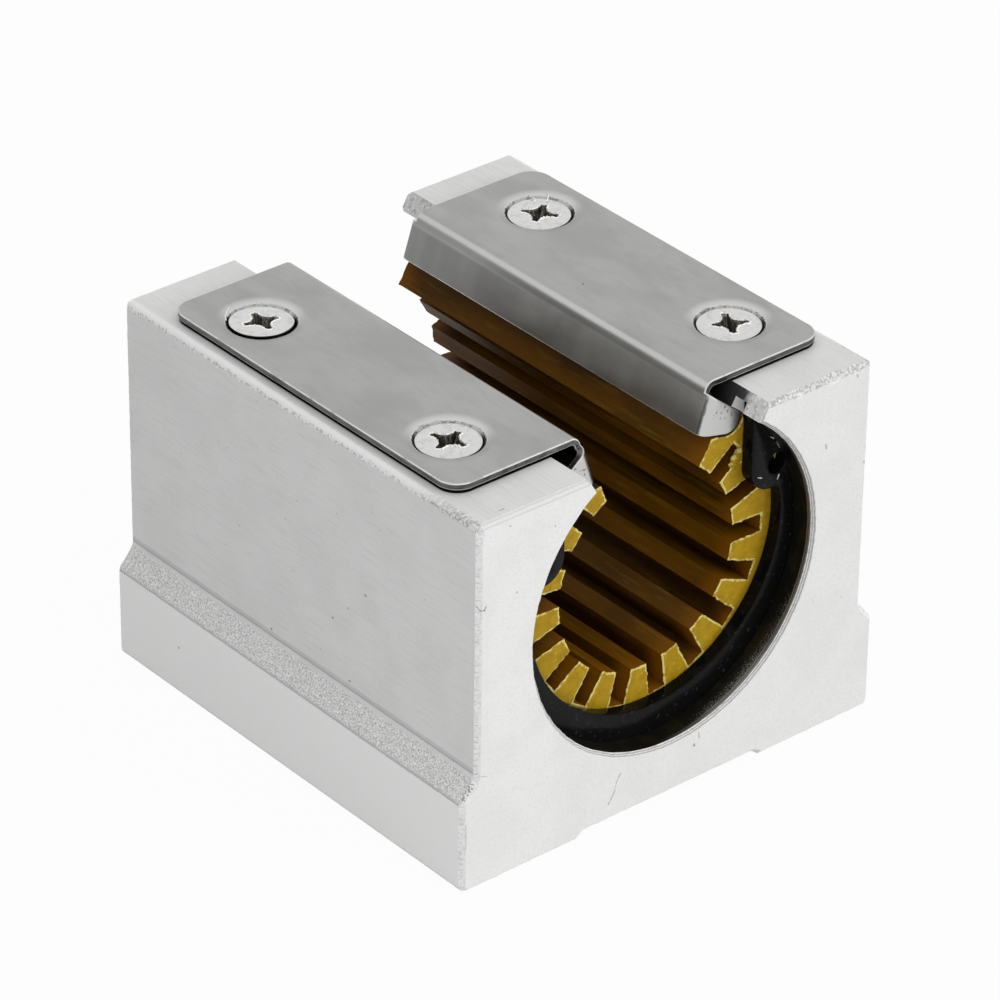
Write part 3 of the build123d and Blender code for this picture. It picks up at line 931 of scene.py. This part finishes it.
def dish_depth(gap):
    """How far the plate has sunk at a distance from a screw's axis."""
    for (far, shallow), (near, deep) in zip(DISH, DISH[1:]):
        if gap >= near:
            share = min(1, max(0, (far - gap) / (far - near)))
            return shallow + (deep - shallow) * share
    return DISH[-1][1]


class Flange:
    """The right flange's slot face: t runs down it, u away from the slot."""

    def __init__(self):
        self.down = Vector((-math.sin(LEAN), -math.cos(LEAN)))
        self.away = Vector((math.cos(LEAN), -math.sin(LEAN)))
        wall = BORE_RADIUS - TAB_WALL_GAP
        self.reach = wall * math.sin(TAB_ANGLE)
        self.corner_z = BORE_HEIGHT + wall * math.cos(TAB_ANGLE)
        foot_z = self.corner_z - TAB_FOOT_DROP
        self.length = (COVER_TOP - foot_z) / math.cos(LEAN)
        self.offset = COVER_LOW.x + (COVER_TOP - foot_z) * math.tan(LEAN)
        self.lower = foot_z - (self.reach - COVER_LOW.x) * math.tan(TAB_FOOT_SLOPE)
        self.turn = BEND / math.tan((math.pi / 2 + LEAN) / 2)

    def at(self, t, u, y):
        point = Vector((self.offset, COVER_TOP)) + self.down * t + self.away * u
        return Vector((point.x, y, point.y))

    def flat(self, x, z):
        """The t and u of a place in the section."""
        gap = Vector((x - self.offset, z - COVER_TOP))
        return Vector((gap.dot(self.away), gap.dot(self.down)))

    def outline(self):
        foot = self.at(self.length, 0, 0)
        head = self.at(TAB_HEAD, 0, 0)
        corners = [
            self.flat(head.x, head.z), self.flat(self.reach, self.corner_z),
            self.flat(self.reach, self.lower), self.flat(foot.x, foot.z),
        ]
        return rounded(corners, (0, TAB_HEAD_RADIUS, TAB_FOOT_RADIUS, 0), 0.1)


def span(outline, u):
    """The lowest and highest t of an outline at one u."""
    hits = []
    for a, b in zip(outline, outline[1:] + outline[:1]):
        if (a.x - u) * (b.x - u) <= 0 and abs(a.x - b.x) > 1e-9:
            hits.append(a.y + (b.y - a.y) * (u - a.x) / (b.x - a.x))
    return min(hits), max(hits)


def plate_points(flange, ys):
    """The plate's outline, with its straight side along the bend."""
    border = [Vector((flange.offset + flange.turn, y)) for y in reversed(ys)]
    corners = [Vector((COVER_HIGH.x, end * PLATE_END)) for end in (-1, 1)]
    line = rounded([border[-1], *corners, border[0]], (0, PLATE_CORNER, PLATE_CORNER, 0), 0.3)
    return finer(line, 0.6)[1:] + line[-1:] + border[1:]


def make_plate(bm, flange, ys, screws):
    """The flat top with a soft dish round each screw, and the dimple's steep wall."""
    outline = plate_points(flange, ys)
    points = list(outline)
    edges = loop_edges(0, len(outline))
    for screw in screws:
        for radius, _ in DISH:
            points.extend(screw + spot for spot in circle(DISH_STEPS, radius))
        edges.extend(loop_edges(len(points) - DISH_STEPS, DISH_STEPS))
    for column in range(1, round((COVER_HIGH.x - flange.offset) / PLATE_GRID)):
        for row in range(round(-PLATE_END / PLATE_GRID) + 1, round(PLATE_END / PLATE_GRID)):
            point = Vector((flange.offset + flange.turn + column * PLATE_GRID, row * PLATE_GRID))
            room_x, room_y = COVER_HIGH.x - point.x, PLATE_END - abs(point.y)
            clear = all((point - screw).length > DISH[0][0] + 0.4 for screw in screws)
            if clear and min(room_x, room_y) > 0.8 and max(room_x, room_y) >= 2.2:
                points.append(point)

    def gap(point):
        return min((point - screw).length for screw in screws)

    filled(
        bm, points, edges, [tuple(range(len(outline)))],
        lambda point: COVER_TOP - dish_depth(gap(point)), lambda middle: gap(middle) > DISH[-1][0] - 0.01,
    )
    rim_radius, rim_depth = DISH[-1]
    drop = rim_radius - DIMPLE_FOOT_RADIUS
    turns = [math.tau * step / DISH_STEPS for step in range(DISH_STEPS)]
    for screw in screws:
        rows = []
        for share in (0, 0.15, 0.5, 1):
            radius = rim_radius - drop * share
            depth = COVER_TOP - rim_depth - drop * share
            ring = [(screw.x + radius * math.cos(turn), screw.y + radius * math.sin(turn)) for turn in turns]
            rows.append(closed_row(bm, [(*spot, depth) for spot in ring]))
        for face in quads(bm, rows):
            face.material_index = 2


def make_cover(side, name, looks):
    flange = Flange()
    bm = bmesh.new()
    node = "cover_" + name
    screws = []
    for end in ("front", "rear"):
        low, high = box("cover_screw_" + end + "_right")
        screws.append(Vector(((low.x + high.x) / 2, (low.y + high.y) / 2)))
    ys = [PLATE_END * (2 * step / PLATE_ROWS - 1) for step in range(PLATE_ROWS + 1)]
    make_plate(bm, flange, ys, screws)
    arc = math.pi / 2 - LEAN
    centre = Vector((flange.offset + flange.turn, COVER_TOP - BEND))
    rows = []
    for step in range(BEND_STEPS + 1):
        angle = math.pi / 2 + arc * step / BEND_STEPS
        point = centre + ray(angle) * BEND
        rows.append([bm.verts.new((point.x, y, point.y)) for y in ys])
    shares = [step / FLANGE_STEPS for step in range(FLANGE_STEPS + 1)]
    levels = [TAB_HEAD + (flange.length - TAB_HEAD) * share for share in shares]
    for t in levels:
        rows.append([bm.verts.new(flange.at(t, 0, y)) for y in ys])
    quads(bm, rows)
    outline = flange.outline()
    widest = max(point.x for point in outline)
    path = []
    for step in range(1, BEND_STEPS + 1):
        angle = math.pi / 2 * step / BEND_STEPS
        path.append((TAB_BEND * (1 - math.cos(angle)), PLATE_END + TAB_BEND * math.sin(angle)))
    for step in range(1, TAB_STEPS + 1):
        share = math.sin(math.pi / 2 * step / TAB_STEPS)
        path.append((TAB_BEND + (widest - 0.004 - TAB_BEND) * share, PLATE_END + TAB_BEND))
    for end in (-1, 1):
        columns = [[flange.at(t, 0, end * PLATE_END) for t in levels]]
        for u, y in path:
            high, low = span(outline, u)
            columns.append([flange.at(high + (low - high) * share, u, end * y) for share in shares])
        quads(bm, [[bm.verts.new(point) for point in column] for column in columns])
    bmesh.ops.remove_doubles(bm, verts=bm.verts, dist=1e-4)
    bmesh.ops.recalc_face_normals(bm, faces=bm.faces)
    top = max(bm.faces, key=lambda face: face.calc_center_median().z)
    if top.normal.z < 0:
        bmesh.ops.reverse_faces(bm, faces=bm.faces)
    for vert in bm.verts:
        waves = noise.noise(Vector((vert.co.x, vert.co.y * 0.6, 3 * side)) / 6)
        vert.co.z -= PLATE_SAG * (1 + waves)
    weights = bm.edges.layers.float.new("bevel_weight_edge")
    for edge in bm.edges:
        middle = (edge.verts[0].co + edge.verts[1].co) / 2
        outer = all((middle.xy - screw).length > DISH[0][0] / 2 for screw in screws)
        edge[weights] = float(edge.is_boundary and outer)
    if side < 0:
        bmesh.ops.transform(bm, matrix=Matrix.Scale(-1, 4, (1, 0, 0)), verts=bm.verts)
        bmesh.ops.reverse_faces(bm, faces=bm.faces)
    piece = finish_piece("cover_plate_" + name, bm, looks, node, 35)
    shell = piece.modifiers.new("sheet", "SOLIDIFY")
    shell.thickness = SHEET * MM
    shell.offset = -1
    shell.use_even_offset = True
    shell.material_offset_rim = 1
    rim = piece.modifiers.new("rolled_edge", "BEVEL")
    rim.width = SHEET_EDGE * MM
    rim.segments = 3
    rim.use_clamp_overlap = False
    rim.limit_method = "WEIGHT"
    # The rolled edge takes the last look, bright as a painted highlight.
    rim.material = len(looks) - 1
    return piece


# Screws


def cross_outline(turn, seed):
    """The recess's mouth: four blunt wings with hollow webs between them, a little chewed."""
    rng = random.Random(seed)
    points = []
    for wing in range(4):
        angle = math.radians(turn + 90 * wing)
        along, aside = ray(angle), Vector((-math.sin(angle), math.cos(angle)))
        tip = 2.15 + rng.uniform(-0.2, 0.12)
        half = 0.38 + rng.uniform(-0.06, 0.08)
        flank = [(0.76, 0.76), (1.15, 0.5), (1.6, 0.36), (tip - 0.1, half), (tip, 0.7 * half)]
        mirrored = [(reach, -width) for reach, width in flank]
        for reach, width in mirrored + [(tip + 0.05, 0)] + flank[:0:-1]:
            points.append(along * reach + aside * width)
    fine = finer(points + points[:1], 0.1)
    return [point * (1 + 0.16 * (ragged((*point, seed), 0.28) - 0.5)) for point in fine]


def grown(outline, reach):
    """An outline moved outward by a distance."""
    out = []
    for before, point, after in zip(outline[-1:] + outline[:-1], outline, outline[1:] + outline[:1]):
        line = (after - before).normalized()
        out.append(point + Vector((line.y, -line.x)) * reach)
    return out


def make_screw(name, index, looks):
    node = "cover_screw_" + name
    low, high = box(node)
    centre = (low + high) / 2
    radius = (high.x - low.x) / 2
    top = high.z
    bm = bmesh.new()
    outline = cross_outline(RECESS_TURNS[name], index + 1)
    mouth = grown(outline, MOUTH_REACH)
    flat = radius - HEAD_RIM[0][0]
    grid = []
    for column in range(-8, 9):
        for row in range(-8, 9):
            point = Vector((column, row)) * HEAD_GRID
            far = min((point - other).length for other in mouth)
            if point.length < flat - 0.25 and far > 0.2 and not inside(point, mouth):
                grid.append(point)
    points = circle(HEAD_STEPS, flat) + mouth + grid
    edges = loop_edges(0, HEAD_STEPS) + loop_edges(HEAD_STEPS, len(mouth))

    def dip(point):
        return 0.01 * noise.noise(Vector((*point, index)) / 1.2)

    filled(
        bm, points, edges, [], lambda point: dip(point) if point.length < flat - 0.05 else 0,
        lambda middle: middle.length < flat and not inside(middle, mouth),
    )
    lift = 0.06 if name == "rear_left" else 0.26
    raised = [0.05 + lift * ragged((*point, index), 0.3, 6)**2 for point in outline]
    rows = [closed_row(bm, [(*point, dip(point)) for point in mouth])]
    rows.append(closed_row(bm, [(*point, z) for point, z in zip(grown(outline, LIP_REACH), raised)]))
    foot = [point * RECESS_FOOT for point in outline]
    for ring, z in ((outline, -0.04), (grown(outline, -0.05), -0.4), (foot, -RECESS_DEPTH)):
        rows.append(closed_row(bm, [(*point, z) for point in ring]))
    # The raised lips take the near-white look as a painted highlight, the recess walls the dark look.
    for face in quads(bm, rows):
        face.material_index = 1 if face.calc_center_median().z > -0.06 else 2
    bottom = bm.verts.new((0, 0, -RECESS_DEPTH - 0.1))
    for a, b in zip(rows[-1], rows[-1][1:]):
        bm.faces.new((a, b, bottom)).material_index = 2
    profile = [(radius - inset, height) for inset, height in HEAD_RIM]
    cone = profile[-1][0] - SHANK_RADIUS
    profile += [(SHANK_RADIUS, profile[-1][1] - cone), (SHANK_RADIUS, low.z - top), (0.01, low.z - top)]
    rows = []
    for reach, height in profile:
        row = []
        for spot in circle(HEAD_STEPS):
            wear = RIM_WEAR * (ragged((4 * spot.x, 4 * spot.y, index), 0.8) - 0.5)
            worn = min(radius, reach + (wear if -0.2 < height < -0.02 else 0))
            row.append((*spot * worn, height))
        rows.append(closed_row(bm, row))
    quads(bm, rows)
    bmesh.ops.contextual_create(bm, geom=rows[-1][:-1])
    bmesh.ops.remove_doubles(bm, verts=bm.verts, dist=1e-4)
    bmesh.ops.recalc_face_normals(bm, faces=bm.faces)
    tilt = Matrix.Identity(4)
    rise = 0
    if name == "rear_left":
        tilt = Matrix.Rotation(HEAD_TILT, 4, Vector((-0.75, 0.65, 0)))
        rise = HEAD_RISE
        # Painted shade: on the rear left head, the rim's near side takes the dark dimple look.
        for face in bm.faces:
            middle = face.calc_center_median()
            at_rim = middle.z < -0.06 and middle.xy.length > radius - 0.3
            if at_rim and middle.dot(Vector((*LIT_WAY, 0))) < 1.2:
                face.material_index = 3
    place = Matrix.Translation(Vector((centre.x - HEAD_SHIFT, centre.y, top + rise)))
    bmesh.ops.transform(bm, matrix=place @ tilt, verts=bm.verts)
    for points, thickness in CURLS.get(name, ()):
        sliver = tube(bm, [Vector(point) for point in points], thickness)
        bmesh.ops.recalc_face_normals(bm, faces=sliver)
        for face in sliver:
            face.material_index = 1
    return finish_piece("screw_" + name, bm, looks, node, 40)


def inside(point, outline):
    """Whether a point lies in a closed outline."""
    odd = False
    for a, b in zip(outline, outline[1:] + outline[:1]):
        if (a.y > point.y) != (b.y > point.y):
            if point.x < a.x + (b.x - a.x) * (point.y - a.y) / (b.y - a.y):
                odd = not odd
    return odd


# Stage


def make_camera():
    back = Vector((
        math.sin(CAMERA_AZIMUTH) * math.cos(CAMERA_ELEVATION),
        -math.cos(CAMERA_AZIMUTH) * math.cos(CAMERA_ELEVATION),
        math.sin(CAMERA_ELEVATION),
    ))
    right = Vector((0, 0, 1)).cross(back).normalized()
    up = back.cross(right)
    turned_right = right * math.cos(CAMERA_ROLL) + up * math.sin(CAMERA_ROLL)
    turned_up = up * math.cos(CAMERA_ROLL) - right * math.sin(CAMERA_ROLL)
    data = bpy.data.cameras.new("photo_camera")
    data.sensor_width = SENSOR_WIDTH
    data.lens = FOCAL_RATIO * SENSOR_WIDTH
    data.clip_start, data.clip_end = 0.05, 20
    camera = placed("photo_camera", data)
    axes = Matrix((turned_right, turned_up, back)).transposed()
    place = (CAMERA_TARGET + back * CAMERA_DISTANCE) * MM
    camera.matrix_world = Matrix.Translation(place) @ axes.to_4x4()
    bpy.context.scene.camera = camera


def seen_rays(tree):
    """1 for rays from the camera, off a glossy surface or through a clear one, 0 for the others."""
    rays = tree.nodes.new("ShaderNodeLightPath").outputs
    seen = rays["Is Camera Ray"]
    for kind in ("Is Glossy Ray", "Is Transmission Ray"):
        seen = compute(tree, "Math", "MAXIMUM", seen, rays[kind]).outputs[0]
    return seen


def make_world():
    """White where it is seen, directly or in a reflection, and a soft room, darker on the left, as light."""
    world = bpy.data.worlds.new("studio")
    bpy.context.scene.world = world
    world.use_nodes = True
    tree = world.node_tree
    way = tree.nodes.new("ShaderNodeTexCoord").outputs["Generated"]
    parts = feed(tree, way, add(tree, "SeparateXYZ"), "Vector")
    tilted = compute(tree, "VectorMath", "DOT_PRODUCT", way, WORLD_SLOPE)
    overhead = ranged(tree, parts.outputs["Z"], *WORLD_RISE, WORLD_LEVEL, WORLD_TOP)
    level = compute(tree, "Math", "ADD", tilted.outputs["Value"], overhead)
    mixed = add(tree, "Mix", data_type="RGBA")
    feed(tree, seen_rays(tree), mixed, MIX_SHARE)
    feed(tree, level.outputs[0], mixed, MIX_FIRST)
    mixed.inputs[MIX_SECOND].default_value = rgba(1)
    feed(tree, mixed.outputs[2], tree.nodes["Background"], "Color")


def make_floor():
    bpy.ops.mesh.primitive_plane_add(size=6)
    floor = bpy.context.object
    floor.name = "floor"
    material = bpy.data.materials.new("floor_white")
    material.use_nodes = True
    tree = material.node_tree
    shader = tree.nodes["Principled BSDF"]
    shader.inputs["Base Color"].default_value = rgba(FLOOR_GREY)
    shader.inputs["Roughness"].default_value = 0.9
    glow = add(tree, "Emission", Color=rgba(1), Strength=1)
    share = compute(tree, "Math", "MULTIPLY", seen_rays(tree), FLOOR_GLOW)
    mixed = tree.nodes.new("ShaderNodeMixShader")
    for index, source in enumerate((share, shader, glow)):
        feed(tree, source.outputs[0], mixed, index)
    feed(tree, mixed.outputs[0], tree.nodes["Material Output"], "Surface")
    floor.data.materials.append(material)


def area_lamp(name, place, size, power):
    data = bpy.data.lights.new(name, "AREA")
    data.size = size
    data.energy = power
    lamp = placed(name, data)
    lamp.location = place
    lamp.rotation_euler = (-Vector(place)).to_track_quat("-Z", "Y").to_euler()
    lamp.visible_glossy = False


bpy.context.scene.view_settings.view_transform = "Standard"
make_camera()
make_world()
make_floor()
area_lamp("front_lamp", (0.7, -1, 0.25), 0.7, 7.2)
area_lamp("side_lamp", (-0.17, -0.2, 0.04), 0.1, 0.13)

make_housing()
make_liner()
black = black_finish()
for end in ("front", "rear"):
    make_ring(end, black)
plate_looks = [steel(), sheared(), dimple(), edge_highlight()]
make_cover(-1, "left", plate_looks)
make_cover(1, "right", plate_looks)
screw_looks = [nickel(), torn_and_highlight(), recess(), dimple()]
for number, screw_name in enumerate(SCREWS):
    make_screw(screw_name, number, screw_looks)
